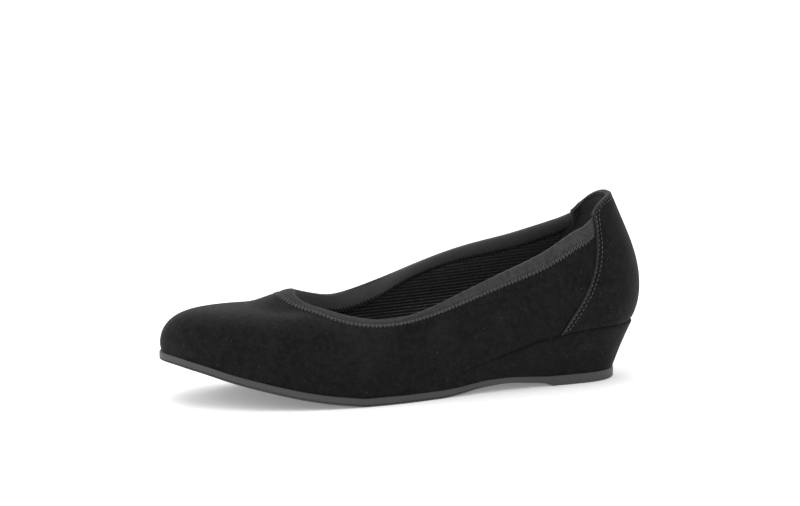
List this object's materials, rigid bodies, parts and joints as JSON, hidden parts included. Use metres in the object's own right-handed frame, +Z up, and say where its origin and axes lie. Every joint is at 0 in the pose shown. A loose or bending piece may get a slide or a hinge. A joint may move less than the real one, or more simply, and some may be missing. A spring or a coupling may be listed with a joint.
{
  "type": "ballet flat",
  "caption": "Low-cut suede slip-on ballet flat on a low covered wedge, with a webbing collar tape and a raised back tab.",
  "frame": {"origin": "on the floor, under the middle of the shoe's bounding box", "axes": "+Z up, toe to -X and heel to +X, lateral side to -Y and medial side to +Y"},
  "size_m": [0.2476, 0.0842, 0.0934],
  "materials": {
    "suede": "matt napped suede",
    "wedge_suede": "matt napped suede cover",
    "webbing": "fine woven elastic tape",
    "sole": "smooth satin rubber",
    "insole": "padded fabric insole"
  },
  "bodies": {
    "root": {"outsole": "sole", "wedge": "wedge_suede", "upper": "suede", "counter": "suede", "collar_tape": "webbing", "insole": "insole"}
  },
  "joints": []
}
